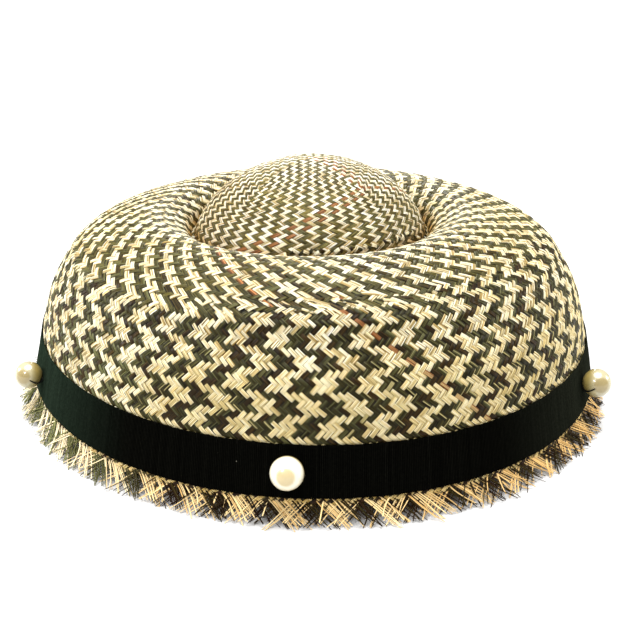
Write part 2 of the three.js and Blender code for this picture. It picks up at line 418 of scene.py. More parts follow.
def woven_piece(name, points, straw_colours):
    """Floats as one mesh: points (float, along, across), four straw colours to a float."""
    count, along, across = points.shape[:3]
    shade = END_SHADE[None, :, None, None] * np.ones((count, along, across, 3))
    straws = np.repeat(straw_colours, 2, axis=1)
    tints = corners(shade) * straws[:, None, :, None, :]
    groove_shading = corners(GROOVE_SHADE_MASK[None, None, :, None] * np.ones((count, along, across, 1)))
    lengths = np.linalg.norm(np.diff(points[:, :, STRAWS], axis=1), axis=-1)
    run = np.concatenate((np.zeros((count, 1)), np.cumsum(lengths, 1)), 1)
    breadth = np.linalg.norm(points[:, 2, -1] - points[:, 2, 0], axis=-1)
    u = run[:, :, None] + rng.uniform(0, STREAK_SCATTER, (count, 1, 1)) + np.zeros((1, 1, across))
    v = (ACROSS[None, None, :] / 2) * breadth[:, None, None] + np.zeros((1, along, 1))
    v = v + rng.uniform(0, STREAK_SCATTER, (count, 1, 1))
    uvs = corners(np.stack((u, v), -1))
    return add_mesh(name, points, grid_faces(count, along, across), straw, tints, uvs, groove_shading)


# Colours of the straw
STRAW_PALE = srgb(252, 249, 226)
STRAW_GOLD = srgb(228, 200, 124)
# Painted light: the crown's and the shelf's dark straws are the wall's dark straw painted lighter,
# as more light falls on top
CROWN_DARK_LIT = srgb(111, 99, 46)
TOP_DARK_LIT = srgb(82, 74, 30)
WALL_DARK = srgb(46, 40, 8)
HEM_DARK = srgb(44, 30, 10)
OLIVE = srgb(97, 97, 62)
BROWN = srgb(60, 38, 14)
RUST = srgb(160, 106, 62)
RUST_DULLING = 0.15
DULL = np.array([0.56, 0.48, 0.3])
PALE_FROM = 0.12
# Painted light and shade on the wall: golden shade low down, lighter dark straws on the left
WALL_SHADE_GOLD = srgb(240, 222, 157)
WALL_GOLD_SHADE_SHARE = 0.45
WALL_LOW_SHADE_SPAN = (1.15, 0.5)
WALL_LEFT_LIGHT_SPAN = (0.35, 0.4)
# Spans of the painted golden shade in the brim's crease and in the crown's crease
BRIM_CREASE_SHADE = (-0.2, 0.14)
CROWN_CREASE_SHADE = (0.8, 0.14)
LEFT_DARK_LIGHT_GAIN = np.array([1.75, 1.85, 1.95])
# Painted light: pale straws on the crown are made whiter
CROWN_PALE_LIT_GAIN = np.array([1.0, 1.03, 1.16])
GOLD_SPREAD = (0.9, 2.0)
PALE_WEAR = 0.06
PALE_DULL_SHARE = 0.16
DYE_WEAR = 0.42
DYE_LIMITS = (0.5, 1.6)
RUST_WEAR = 0.3
FLOAT_WEAR = 0.06
FLOAT_STRAW_WEAR = 0.1
FLOAT_DULL_SHARE = 0.14


def strand_looks(pale, dark, brown_share, rust=()):
    """Four straw colours for each strand, alike but for the wear and dye of each straw."""
    count = len(pale)
    shape = (count, STRAWS, 1)
    warm = rng.beta(*GOLD_SPREAD, shape)
    light = STRAW_PALE * (1 - warm) + STRAW_GOLD * warm
    light = light * rng.normal(1, PALE_WEAR, shape)
    light = light * np.where(rng.random(shape) < PALE_DULL_SHARE, DULL, 1)
    green = rng.random(shape) ** 2
    dyed = dark * (1 - green) + OLIVE * green
    dyed = np.where(rng.random((count, 1, 1)) < brown_share, (dark + BROWN) / 2, dyed)
    dyed = dyed * np.clip(np.exp(rng.normal(0, DYE_WEAR, shape)), *DYE_LIMITS)
    colours = np.where(pale[:, None, None], light, dyed)
    rusty = RUST * (1 - RUST_DULLING) + dark * RUST_DULLING
    colours[list(rust)] = rusty * np.exp(rng.normal(0, RUST_WEAR, (len(rust), STRAWS, 1)))
    return np.clip(colours, 0, 1)


def float_tones(colours):
    """Each float of a strand a little lighter or darker, and a few straws of it worn."""
    count = len(colours)
    shape = (count, STRAWS, 1)
    tones = rng.normal(1, FLOAT_WEAR, (count, 1, 1)) * rng.normal(1, FLOAT_STRAW_WEAR, shape)
    worn = rng.random(shape) < FLOAT_DULL_SHARE
    return np.clip(colours * tones * np.where(worn, DULL, 1), 0, 1)


def float_grid(centre_m, centre_n, slants, half_long, widths, bends):
    """Weave coordinates and heights of many floats. A slants to the right on its way down."""
    count = len(centre_m)
    u = ALONG[None, :, None] * half_long[:, None, None]
    v = (ACROSS[None, None, :] * 0.5) * widths[:, None, None]
    jitter = rng.normal(0, 0.014, (count, 1, len(ACROSS)))
    v = v + jitter + bends[:, None, None] * ALONG[None, :, None]
    m = centre_m[:, None, None] + u + np.where(slants[:, None, None], v, -v)
    n = centre_n[:, None, None] + np.where(slants[:, None, None], u, -u) - v
    height = ARCH[None, :, None] + RIDGE[None, None, :] + rng.normal(0, 0.07, (count, 1, 1))
    return m, n, height + np.zeros_like(m)


# Materials

def new_material(name):
    material = bpy.data.materials.new(name)
    material.use_nodes = True
    tree = material.node_tree
    shader = tree.nodes["Principled BSDF"]
    return material, tree, shader


def set_inputs(node, values):
    for key, value in values.items():
        node.inputs[key].default_value = value


def add_node(tree, kind, inputs=None, **settings):
    node = tree.nodes.new(kind)
    for key, value in settings.items():
        setattr(node, key, value)
    set_inputs(node, inputs or {})
    return node


def add_ramp(tree, value, stops):
    """Colour of a value between two stops."""
    node = tree.nodes.new("ShaderNodeValToRGB")
    for element, (place, colour) in zip(node.color_ramp.elements, stops):
        element.position = place
        element.color = (*colour, 1)
    tree.links.new(value, node.inputs["Fac"])
    return node.outputs["Color"]


def add_tint(tree):
    return add_node(tree, "ShaderNodeAttribute", attribute_name="tint").outputs["Color"]


def add_place(tree):
    return add_node(tree, "ShaderNodeTexCoord").outputs["Object"]


def add_noise(tree, scale, detail, stops):
    """Noise over the object, as a number and as a colour between two stops."""
    noise = add_node(tree, "ShaderNodeTexNoise", {"Scale": scale, "Detail": detail})
    tree.links.new(add_place(tree), noise.inputs["Vector"])
    return noise.outputs["Fac"], add_ramp(tree, noise.outputs["Fac"], stops)


def add_product(tree, first, second):
    """Two colours multiplied."""
    node = add_node(tree, "ShaderNodeMix", {"Factor": 1}, data_type="RGBA", blend_type="MULTIPLY")
    tree.links.new(first, node.inputs["A"])
    tree.links.new(second, node.inputs["B"])
    return node.outputs["Result"]


def add_bump(tree, shader, value, strength, distance):
    bump = add_node(tree, "ShaderNodeBump", {"Strength": strength, "Distance": distance})
    tree.links.new(value, bump.inputs["Height"])
    tree.links.new(bump.outputs["Normal"], shader.inputs["Normal"])


# Painted shade in the grooves between straws: the tint is deepened and made warmer there
GROOVE_SHADE_GAMMA = 2.2
GROOVE_SHADE_TONE = (0.26, 0.2, 0.09, 1)
FIBRE_STRETCH = (0.12, 3.2, 1)


def add_groove_shade(tree, tint):
    """Painted shade in the groove between two straws: a deeper and warmer tint, from the mesh's
    edge value.
    """
    link = tree.links.new
    edge = add_node(tree, "ShaderNodeAttribute", attribute_name="edge")
    line = add_node(tree, "ShaderNodeMapRange", {"From Min": 0.45, "From Max": 0.85},
                    interpolation_type="SMOOTHSTEP")
    link(edge.outputs["Fac"], line.inputs["Value"])
    deep = add_node(tree, "ShaderNodeGamma", {"Gamma": GROOVE_SHADE_GAMMA})
    link(tint, deep.inputs["Color"])
    toned = add_node(tree, "ShaderNodeMix", {"Factor": 1, "B": GROOVE_SHADE_TONE}, data_type="RGBA",
                     blend_type="MULTIPLY")
    link(deep.outputs["Color"], toned.inputs["A"])
    mix = add_node(tree, "ShaderNodeMix", data_type="RGBA")
    link(line.outputs["Result"], mix.inputs["Factor"])
    link(tint, mix.inputs["A"])
    link(toned.outputs["Result"], mix.inputs["B"])
    return mix.outputs["Result"]


def straw_material(name, gloss, shine, streak_depth, groove_shaded):
    """Straw: tint from the mesh, streaks along the fibre, soft gloss and a fibre bump."""
    material, tree, shader = new_material(name)
    link = tree.links.new
    tint = add_groove_shade(tree, add_tint(tree)) if groove_shaded else add_tint(tree)
    uv = add_node(tree, "ShaderNodeUVMap", uv_map="strand")
    stretch = add_node(tree, "ShaderNodeMapping", {"Scale": FIBRE_STRETCH})
    link(uv.outputs["UV"], stretch.inputs["Vector"])
    noise = add_node(tree, "ShaderNodeTexNoise", {"Scale": 1.0, "Detail": 3.0, "Roughness": 0.6})
    link(stretch.outputs["Vector"], noise.inputs["Vector"])
    streak = noise.outputs["Fac"]
    low = 1 - streak_depth
    tones = add_ramp(tree, streak, [(0.25, (low, low * 0.93, low * 0.8)), (0.5, (1, 1, 1))])
    _, clouds = add_noise(tree, 22.0, 2.0, [(0.3, (0.9, 0.87, 0.82)), (0.7, (1, 1, 1))])
    colour = add_product(tree, add_product(tree, tint, tones), clouds)
    link(colour, shader.inputs["Base Color"])
    rough = add_node(tree, "ShaderNodeMapRange", {"To Min": gloss - 0.1, "To Max": gloss + 0.12})
    link(streak, rough.inputs["Value"])
    link(rough.outputs["Result"], shader.inputs["Roughness"])
    add_bump(tree, shader, streak, 0.35, 0.00025)
    shader.inputs["Specular IOR Level"].default_value = shine
    return material


straw = straw_material("straw", 0.42, 0.13, 0.32, True)
fringe_straw = straw_material("fringe_straw", 0.5, 0.05, 0.3, False)


# Woven parts

def is_light(order, run, shift):
    """Light strands come in runs, and as many dark ones follow."""
    return ((order + shift) % (2 * run)) < run


def pick(looks_a, looks_b, is_a, m, n):
    """Colours of each float from the strand that it belongs to."""
    total = len(looks_a)
    index = np.where(is_a, (m - n) // 2, (m + n) // 2) % total
    return np.where(is_a[:, None, None], looks_a[index], looks_b[index])


def ring_floats(round_count, first_row, last_row):
    """Cells where a float starts, as m, n and whether it is an A float."""
    cells = []
    for n in range(first_row, last_row + 1):
        if n % 4 in (0, 2):
            m = np.arange(n % 2, 2 * round_count, 2)
            cells.append(np.stack((m, np.full_like(m, n), np.full_like(m, n % 4 == 0)), 1))
    return np.concatenate(cells)


def ring_looks(round_count, run, shift_b, dark, brown_share, rust_a=()):
    order = np.arange(round_count)
    looks_a = strand_looks(is_light(order, run, 0), dark, brown_share, rust_a)
    looks_b = strand_looks(is_light(order, run, shift_b), dark, brown_share)
    return looks_a, looks_b


def seam_place(angle):
    """Place where the shelf's pattern ends and the wall's begins."""
    swing = SEAM_SWING * np.cos(angle - math.radians(SEAM_HIGH_AT))
    return np.minimum(SEAM_MIDDLE - swing, SEAM_LOWEST)


def painted_golden_shade(colours, share):
    """Painted golden shade on straw deep in a crease or on the crown's shaded left, by as much as
    the share says.
    """
    return colours * (1 - share[:, None, None] * (1 - CREASE_SHADE_TONE))


def wall_painted_light(colours, place, angle):
    """Painted light on the wall: low down pale straws get a painted golden shade, but on the left
    dark ones are painted lighter instead.
    """
    low = rise(place, *WALL_LOW_SHADE_SPAN)
    left = rise(-np.cos(angle), *WALL_LEFT_LIGHT_SPAN)
    golden = (WALL_GOLD_SHADE_SHARE * low * (1 - left))[:, None, None]
    lighter = (low * left)[:, None, None]
    return np.where(colours[:, :, 1:2] > PALE_FROM,
                    colours * (1 - golden) + WALL_SHADE_GOLD * golden,
                    colours * (1 + lighter * (LEFT_DARK_LIGHT_GAIN - 1)))


def ring_weave(rows, looks, first, last, place_of, turn_of, side):
    """Floats of a ring of weave on the brim: the shelf is side -1 of the seam, the wall side 1."""
    round_count = len(looks[0])
    cells = ring_floats(round_count, first, last)
    place = place_of((cells[:, 1] + 0.5) / rows)
    angle = math.pi * cells[:, 0] / round_count
    angle = angle + turn_of(place, angle)
    past = (place - seam_place(angle)) * side
    kept = past > -SEAM_OVERLAP
    cells = cells[kept]
    at_ledge = smooth((past[kept] * side + DRAWN_REACH) / DRAWN_EASE) * (side < 0)
    at_ledge = at_ledge * smooth(DRAWN_SPREAD * front_share(angle[kept]))
    count = len(cells)
    is_a = cells[:, 2] == 1
    m0 = cells[:, 0].astype(float) + np.where(is_a, 0.5, -0.5)
    n0 = cells[:, 1].astype(float) + 0.5
    colours = float_tones(pick(*looks, is_a, cells[:, 0], cells[:, 1]))
    colours = painted_golden_shade(colours, rise(-place[kept], *BRIM_CREASE_SHADE))
    colours = wall_painted_light(colours, place[kept], angle[kept])
    widths = rng.uniform(*FLOAT_WIDTHS, count) * (1 - DRAWN_THINNER * at_ledge * rng.random(count))
    half_long = TUCK * rng.uniform(*FLOAT_LENGTHS, count)
    drawn = np.where(is_a, rng.uniform(*DRAWN_LONGER, count), CROSSING_SHORTER)
    half_long = half_long * (1 + at_ledge * drawn)
    m, n, height = float_grid(m0, n0, is_a, half_long, widths, rng.normal(0, 0.04, count))
    place = place_of(n / rows)
    angle = math.pi * m / round_count
    angle = angle + turn_of(place, angle)
    raised = np.where(is_a, rng.uniform(*DRAWN_RAISED, count), CROSSING_RAISED)
    height = height + (at_ledge * raised)[:, None, None]
    return brim_at(angle, place, height), colours, angle.mean((1, 2))


def two_halves(name, points, colours, angles):
    """A ring of weave as a left and a right piece, which keeps each under the face limit."""
    left = np.cos(angles) < 0
    return [woven_piece(name + "_left", points[left], colours[left]),
            woven_piece(name + "_right", points[~left], colours[~left])]


def shelf_turn(place, angle):
    """The shelf's strands run straight out, but at the front they lean right towards the ledge."""
    degrees = (np.degrees(angle) + 90) % 360 - 270
    left = rise(degrees, *SHELF_TWIST_LEFT)
    right = rise(-degrees, *SHELF_TWIST_RIGHT)
    s = np.clip((place - SHELF_TWIST_START) / SHELF_TWIST_EASE, 0, 1)
    eased = SHELF_TWIST_EASE * (s**3 - s**4 / 2)
    after = np.maximum(place - SHELF_TWIST_START - SHELF_TWIST_EASE, 0)
    return SHELF_TWIST_RATE * (eased + after) * left * right


def wall_turn(place, angle):
    """The wall's strands lean a little to the left towards the ledge at the front."""
    return WALL_TURN - WALL_LEAN * np.clip(2 - place, 0, 1) * front_share(angle)


def shelf_place(share):
    """Place of a shelf row; past the ledge the rows keep their spacing."""
    return np.clip(share, 0, 1) + np.maximum(share - 1, 0) * SHELF_LENGTH / WALL_LENGTH


def wall_place(share):
    """Place of a wall row; above the ledge the rows keep their spacing."""
    return 1 + np.maximum(share, 0) + np.minimum(share, 0) * WALL_LENGTH / SHELF_LENGTH


def hem_place(share):
    return HEM_TOP_PLACE + share * (HEM_LOW_PLACE - HEM_TOP_PLACE)


# The shelf's dark straw is painted lighter than the wall's, for the light on top
shelf_looks = ring_looks(SHELF_ROUND, 2, 2, TOP_DARK_LIT, 0.1, (SHELF_RUST,))
wall_looks = ring_looks(WALL_ROUND, 3, 1, WALL_DARK, 0.2, (WALL_RUST,))
hem_looks = ring_looks(WALL_ROUND, 3, 1, HEM_DARK, 0.3)
wall_pieces = two_halves("wall_weave", *ring_weave(
    WALL_ROWS, wall_looks, -10, WALL_ROWS + 1, wall_place, wall_turn, 1))
shelf_pieces = two_halves("shelf_weave", *ring_weave(
    SHELF_ROWS, shelf_looks, 0, SHELF_ROWS + 4, shelf_place, shelf_turn, -1))
hem_points, hem_colours, _ = ring_weave(
    HEM_ROWS, hem_looks, 0, HEM_ROWS, hem_place, wall_turn, 1)
hem_piece = woven_piece("hem_weave", hem_points, hem_colours * HEM_TONE)


def bundle_offsets(slant, half_long, half_wide):
    """How far the points of slanting bundles lie around and down from their middles."""
    long = ALONG[None, :, None] * half_long[:, None, None]
    wide = ACROSS[None, None, :] * half_wide[:, None, None]
    slant = slant[:, None, None]
    return long * np.cos(slant) - wide * np.sin(slant), long * np.sin(slant) + wide * np.cos(slant)


def bundle_height(top, drop):
    return top[:, None, None] - drop * ALONG[None, :, None] ** 2 + RIDGE * BUNDLE_RIDGE


def seam_knots():
    """Straw ends turned back along the foot of the crown: pale raised lumps, with dark bundles
    between them as painted shadow.
    """
    order = np.arange(SEAM_KNOTS)
    angle = (order + rng.normal(0, 0.12, SEAM_KNOTS)) * TURN / SEAM_KNOTS
    front = rise(np.cos(angle - math.radians(KNOTS_MIDDLE)), 0.7, 0.15)
    rho = KNOTS_FOOT - (KNOTS_FOOT - KNOTS_FRONT) * front + rng.normal(0, 0.004, SEAM_KNOTS)
    # Every other bundle is dark, a painted shadow between the pale lumps
    pale = order % 2 == 0
    slant = np.where(rng.random(SEAM_KNOTS) < 0.7, -KNOT_SLANT, KNOT_SLANT)
    slant = slant + rng.normal(0, 0.25, SEAM_KNOTS)
    around, down = bundle_offsets(slant, rng.uniform(*KNOT_LENGTHS, SEAM_KNOTS),
                                  rng.uniform(*KNOT_WIDTHS, SEAM_KNOTS))
    a = angle[:, None, None] + around / crown_mean
    r = rho[:, None, None] + down / CROWN_LENGTH
    height = bundle_height(np.where(pale, KNOT_PALE_TOP, KNOT_SHADOW_TOP), KNOT_DROP)
    points = crown_round(a, r, height + np.zeros_like(r))
    colours = float_tones(strand_looks(pale, WALL_DARK, 0.3))
    return woven_piece("seam_knots", points, colours)


def ledge_straws():
    """Long loose straws that lie over the ledge at the front, bunched and almost level."""
    share = (np.arange(LEDGE_BUNDLES) + rng.uniform(-0.4, 0.4, LEDGE_BUNDLES)) / LEDGE_BUNDLES
    angle = np.radians(LEDGE_FROM + (LEDGE_TO - LEDGE_FROM) * share)
    place = seam_place(angle) + rng.uniform(-0.1, 0, LEDGE_BUNDLES)
    slant = 0.5 - 0.24 * share + rng.normal(0, 0.04, LEDGE_BUNDLES)
    half_long = rng.uniform(*LEDGE_LENGTHS, LEDGE_BUNDLES) * (0.5 + 0.5 * np.sin(math.pi * share))
    around, down = bundle_offsets(slant, half_long, rng.uniform(*LEDGE_WIDTHS, LEDGE_BUNDLES))
    down = down - LEDGE_SAG * around * np.abs(around)
    a = angle[:, None, None] + around / LEDGE_RADIUS
    c = place[:, None, None] + down / SHELF_LENGTH
    height = bundle_height(rng.uniform(*LEDGE_TOPS, LEDGE_BUNDLES), LEDGE_DROP)
    points = brim_at(a, c, height + np.zeros_like(a))
    pale = rng.random(LEDGE_BUNDLES) < 0.5
    rust = (int(np.argmin(np.abs(angle - math.radians(LEDGE_RUST_AT)))),)
    colours = float_tones(strand_looks(pale, WALL_DARK, 0.4, rust))
    return woven_piece("ledge_straws", points, colours)


knots = seam_knots()
loose_straws = ledge_straws()

CROWN_WIDTH_PALE = 0.88
CROWN_WIDTH_DARK = 1.04
CROWN_WIDTHS = (0.94, 1.04)
CROWN_PALE_FROM = 0.33
# Painted shade: the crown's left is darkened towards gold as well
CROWN_LEFT_SHADE = 0.35
CROWN_LEFT_SHADE_SPAN = (0.45, 0.4)


def crown_floats():
    """Quarter, middle m and n, whether A, half length, and m and n of the strand of each float."""
    rows = []
    half = CROWN_SQUARE_ROWS
    for quarter in range(4):
        rows.append((quarter, 0.5, 0.5, 1, 0.9, 0, 0))
        for n in range(1, CROWN_ROWS):
            side = min(n, half)
            start = -side + (side + n) % 2
            for m in range(start, side, 2):
                if n % 4 == 0:
                    rows.append((quarter, m + 0.5, n + 0.5, 1, 1, m, n))
                if n % 4 == 2:
                    rows.append((quarter, m - 0.5, n + 0.5, 0, 1, m, n))
            if n < half and n % 4 == 3:
                rows.append((quarter, n - 2, n, 0, 0.5, n - 2, n))
            if n < half and n % 4 == 1:
                rows.append((quarter, -n, n, 1, 0.5, -n, n))
    return np.array(rows, float)


def crown_weave():
    rows = crown_floats()
    quarter = rows[:, 0]
    is_a = rows[:, 3] == 1
    count = len(rows)
    m_all = (rows[:, 5] + 2 * CROWN_SQUARE_ROWS * quarter).astype(int)
    light = is_light(np.arange(CROWN_ROUND), 1, 0)
    # The crown's dark straw is painted lighter, and its pale straw whiter, for the light that falls
    # on top
    looks = [strand_looks(light, CROWN_DARK_LIT, 0.05, rust) for rust in (CROWN_RUST_A, CROWN_RUST_B)]
    colours = pick(*looks, is_a, m_all, rows[:, 6].astype(int))
    pale = colours[:, :, 1].mean(1) > STRAW_PALE[1] * CROWN_PALE_FROM
    widths = np.where(pale, CROWN_WIDTH_PALE, CROWN_WIDTH_DARK) * rng.uniform(*CROWN_WIDTHS, count)
    colours = colours * np.where(pale[:, None, None], CROWN_PALE_LIT_GAIN, 1)
    half_long = rows[:, 4] + (TUCK - 1)
    m, n, height = float_grid(rows[:, 1], rows[:, 2], is_a, half_long, widths,
                              rng.normal(0, 0.02, count))
    points = crown_at(quarter[:, None, None], m, n, height)
    crease_shade = rise(row_reach(rows[:, 2]), *CROWN_CREASE_SHADE)
    left_shade = rise(-points[:, 2, STRAWS, 0] / CROWN_HALF_WIDTH, *CROWN_LEFT_SHADE_SPAN)
    colours = painted_golden_shade(float_tones(colours), np.maximum(crease_shade, CROWN_LEFT_SHADE * left_shade))
    return woven_piece("crown_weave", points, colours)


crown_piece = crown_weave()


# Ground under the weave: thin closed shells, painted dark between the straws as under-layer straw
# in shade, and woven on the inside

def add_math(tree, operation, first, second):
    """A sum on sockets; the second may also be a plain number."""
    node = add_node(tree, "ShaderNodeMath", operation=operation)
    tree.links.new(first, node.inputs[0])
    if isinstance(second, (int, float)):
        node.inputs[1].default_value = second
    else:
        tree.links.new(second, node.inputs[1])
    return node.outputs["Value"]


def add_strand(tree, value):
    """Whole number of a strand, and whether that strand is light: two light, then two dark."""
    whole = add_math(tree, "FLOOR", value, 0)
    light = add_math(tree, "LESS_THAN", add_math(tree, "FLOORED_MODULO", whole, 4), 1.5)
    return whole, light


def add_twill(tree):
    """1 where the weave shows a light strand and 0 where it shows a dark one."""
    link = tree.links.new
    uv = add_node(tree, "ShaderNodeUVMap", uv_map="strand")
    parts = add_node(tree, "ShaderNodeSeparateXYZ")
    link(uv.outputs["UV"], parts.inputs["Vector"])
    u = parts.outputs["X"]
    v = parts.outputs["Y"]
    order_a, light_a = add_strand(tree, add_math(tree, "SUBTRACT", u, v))
    order_b, light_b = add_strand(tree, add_math(tree, "ADD", u, v))
    row = add_math(tree, "SUBTRACT", order_b, order_a)
    on_top = add_math(tree, "LESS_THAN", add_math(tree, "FLOORED_MODULO", row, 4), 1.5)
    pick_light = add_node(tree, "ShaderNodeMix", data_type="FLOAT")
    link(on_top, pick_light.inputs["Factor"])
    link(light_b, pick_light.inputs["A"])
    link(light_a, pick_light.inputs["B"])
    return pick_light.outputs["Result"]


def shell_material():
    material, tree, shader = new_material("straw_ground")
    link = tree.links.new
    woven = add_node(tree, "ShaderNodeMix", {"A": INSIDE_DARK, "B": (1, 1, 1, 1)}, data_type="RGBA")
    link(add_twill(tree), woven.inputs["Factor"])
    cloud, tones = add_noise(tree, 260.0, 3.0, [(0.3, (0.6, 0.55, 0.5)), (0.7, (1, 1, 1))])
    tinted = add_product(tree, add_tint(tree), woven.outputs["Result"])
    link(add_product(tree, tinted, tones), shader.inputs["Base Color"])
    shader.inputs["Roughness"].default_value = 0.8
    add_bump(tree, shader, cloud, 0.4, 0.0004)
    return material


INSIDE_DARK = (0.17, 0.16, 0.14, 1)
ground = shell_material()
# Painted shade: the outer face is the under-layer straw seen between the floats, darkened as it
# lies in shade
GROUND_SHADED = srgb(40, 31, 18)
GROUND_INSIDE = srgb(216, 192, 142)
GROUND_DEPTH = -0.5
BRIM_SHELL_ROUND = 128
BRIM_SHELL_PLACES = np.linspace(0, 2.95, 45)
CROWN_SHELL_ROUND = 96
CROWN_SHELL_PLACES = np.linspace(0.004, 1, 34)


def closed_shell(name, surface, around, places, strands, row_count):
    """A band with an outer and an inner face on a surface, joined at both ends."""
    a, c = np.meshgrid(np.arange(around) / around * TURN, places, indexing="ij")
    outer = surface(a, c, np.full(a.shape, GROUND_DEPTH))
    inner = surface(a, c, np.full(a.shape, -STRAW_THICK))
    loop = np.concatenate((outer, inner[:, ::-1]), 1)
    faces, i, j, k = loop_faces(*loop.shape[:2])
    tints = np.where((j < len(places) - 1)[..., None], GROUND_SHADED, GROUND_INSIDE)
    tints = np.repeat(tints.reshape(-1, 1, 3), 4, 1)
    rows = places * row_count
    rows = np.concatenate((rows, rows[::-1])) / 2
    u = np.stack((i, i, i + 1, i + 1), -1) * strands / around
    v = np.stack((rows[j], rows[k], rows[k], rows[j]), -1)
    return add_mesh(name, loop, faces, ground, tints, np.stack((u, v), -1))


brim_under = closed_shell("brim_ground", brim_at, BRIM_SHELL_ROUND, BRIM_SHELL_PLACES,
                          SHELF_ROUND, SHELF_ROWS)
crown_under = closed_shell("crown_ground", crown_round, CROWN_SHELL_ROUND, CROWN_SHELL_PLACES,
                           CROWN_ROUND, CROWN_ROWS)


# Ribbon: fine upright ribs and a row of small loops on both edges
RIBS = 1120
RIB_DEPTH = 0.3
LOOP_HEIGHT = 0.5
RIBBON_LEVELS = np.array([0, 0.03, 0.5, 0.97, 1])
# Painted light on the ribbon: black painted shade in the rib valleys, a lighter greenish painted
# sheen towards both sides
RIB_CREST = srgb(15, 15, 12)
RIB_VALLEY_SHADE = srgb(0, 0, 0)
RIB_LEFT_SHEEN = srgb(40, 52, 41)
RIB_RIGHT_SHEEN = srgb(38, 41, 33)
RIB_WEAR = 0.12
DUST = srgb(112, 110, 98)
STITCHES = 96
STITCH_WIDTH = 0.06
STITCH_PULL = 0.4
WAVE_HEIGHT = 0.25


def ribbon_material():
    """Ribbed cloth: tint from the mesh, mottled and with a few specks of dust."""
    material, tree, shader = new_material("ribbon_cloth")
    link = tree.links.new
    fine, tones = add_noise(tree, 700.0, 2.0, [(0.3, (0.55, 0.55, 0.55)), (0.7, (1, 1, 1))])
    dust = add_node(tree, "ShaderNodeTexVoronoi", {"Scale": 75.0})
    link(add_place(tree), dust.inputs["Vector"])
    speck = add_node(tree, "ShaderNodeMapRange", {"From Min": 0.035, "From Max": 0.02})
    link(dust.outputs["Distance"], speck.inputs["Value"])
    dusty = add_node(tree, "ShaderNodeMix", {"B": (*DUST, 1)}, data_type="RGBA")
    link(speck.outputs["Result"], dusty.inputs["Factor"])
    link(add_product(tree, add_tint(tree), tones), dusty.inputs["A"])
    link(dusty.outputs["Result"], shader.inputs["Base Color"])
    set_inputs(shader, {"Roughness": 0.6, "Specular IOR Level": 0.0})
    add_bump(tree, shader, fine, 0.3, 0.0001)
    return material


ribbon_cloth = ribbon_material()


def make_ribbon():
    columns = 2 * RIBS
    angles = np.arange(columns) / columns * TURN
    crest = (np.arange(columns) % 2).astype(float)
    loops = crest * LOOP_HEIGHT
    span = RIBBON_TOP_UP - RIBBON_BOTTOM_UP
    up = RIBBON_TOP_UP - span * RIBBON_LEVELS[None, :] + np.zeros((columns, 1))
    up[:, 0] += loops - 0.2
    up[:, -1] -= loops - 0.2
    a = angles[:, None] + np.zeros((1, len(RIBBON_LEVELS)))
    middle = np.sin(math.pi * RIBBON_LEVELS)[None, :]
    wave = WAVE_HEIGHT * np.sin(a * 23 + 1.0) * np.sin(a * 7) * middle
    pulled = np.exp(-((angles * STITCHES / TURN % 1 - 0.5) / STITCH_WIDTH) ** 2)
    outer_out = ribbon_out(up) + crest[:, None] * RIB_DEPTH + wave
    outer_out[:, 1] -= STITCH_PULL * pulled
    outer = brim_point(a, outer_out, up)
    inner = brim_point(a, ribbon_out(up) - RIBBON_THICK + wave, up)
    loop = np.concatenate((outer, inner[:, :1:-2]), 1)
    faces = loop_faces(*loop.shape[:2])[0]
    # Painted sheen towards the sides, and painted shade in the valleys there too
    sheen_share = rise(np.abs(np.cos(angles)), 0.55, 0.4)[:, None]
    column_tint = np.where(crest[:, None] > 0, RIB_CREST, RIB_VALLEY_SHADE)
    side_sheen = np.where(np.cos(angles)[:, None] < 0, RIB_LEFT_SHEEN, RIB_RIGHT_SHEEN)
    column_tint = column_tint * (1 - sheen_share) + side_sheen * sheen_share * (0.35 + 0.65 * crest[:, None])
    column_tint = column_tint * np.exp(rng.normal(0, RIB_WEAR, (columns, 1)))
    next_tint = np.roll(column_tint, -1, 0)
    tints = np.stack((column_tint, column_tint, next_tint, next_tint), 1)
    tints = np.repeat(tints[:, None], loop.shape[1], 1)
    return add_mesh("ribbon_band_cloth", loop, faces, ribbon_cloth, tints)


ribbon = make_ribbon()

# Frayed edge: the ends of the wall's straws, loose below the ribbon
FRINGE_ROOT_UP = 16.5
FRINGE_TRAVEL = 20.0
FRINGE_WIDTH = 1.55
FRINGE_TAPER = 0.5
FRINGE_WIDTHS = (0.75, 1.1)
FRINGE_RIDGE = 0.3
FRINGE_SIDE_BROADER = 0.4
FRINGE_BACK_STEEPER = 0.7
FRINGE_CURVE = 1.8
FRINGE_GROUNDED = 0.25
FRINGE_GROUNDED_TIPS = (0.2, 0.7)
FRINGE_SHORT = 0.1
FRINGE_SHORT_TIPS = (4, 9)
FRINGE_STRAY = 0.06
FRINGE_STRAY_TRAVEL = (-0.5, 1.6)
FRINGE_SCATTER = 300
FRINGE_STEPS = 6
FRINGE_PALE = srgb(242, 218, 164)
FRINGE_GOLD = srgb(210, 168, 102)
FRINGE_DARK = srgb(32, 16, 4)
FRINGE_OLIVE = srgb(54, 48, 20)
# Painted light: the fringe's straws as they look on the lit left
FRINGE_LEFT_LIT_PALE = srgb(252, 244, 214)
FRINGE_LEFT_LIT_DARK = srgb(112, 114, 72)


